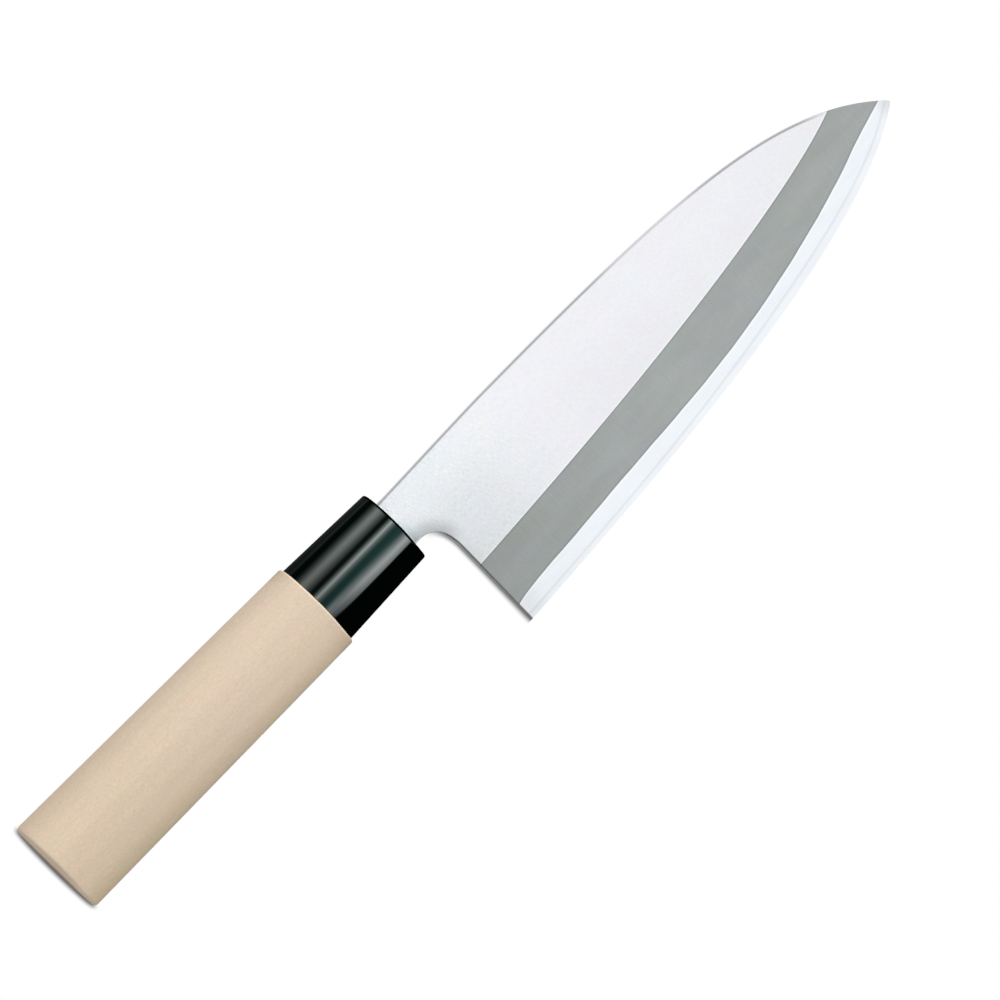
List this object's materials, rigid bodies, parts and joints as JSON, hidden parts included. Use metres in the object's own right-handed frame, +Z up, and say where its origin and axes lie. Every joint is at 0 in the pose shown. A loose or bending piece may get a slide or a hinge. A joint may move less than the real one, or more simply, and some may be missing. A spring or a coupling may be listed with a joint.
{
  "type": "santoku knife",
  "caption": "Santoku kitchen knife with a laminated steel blade, a black collar and a light wooden handle of D-shaped section, lying on its left side.",
  "frame": {"origin": "on the table, under the middle of the knife's bounding box as it lies on its left side", "axes": "+X from the butt towards the tip, +Y from the edge towards the spine, +Z up"},
  "size_m": [0.301, 0.0578, 0.0263],
  "materials": {
    "core_steel": "bright, finely ground",
    "cladding_steel": "satin, brushed from spine to edge, with a matte ground band",
    "handle_wood": "bare, sanded smooth",
    "collar_plastic": "polished black",
    "bedding_resin": "hidden inside the wood"
  },
  "bodies": {
    "root": {"core_steel": "core_steel", "cladding_right": "cladding_steel", "cladding_left": "cladding_steel", "handle": "handle_wood", "collar": "collar_plastic", "tang_bedding": "bedding_resin"}
  },
  "joints": []
}
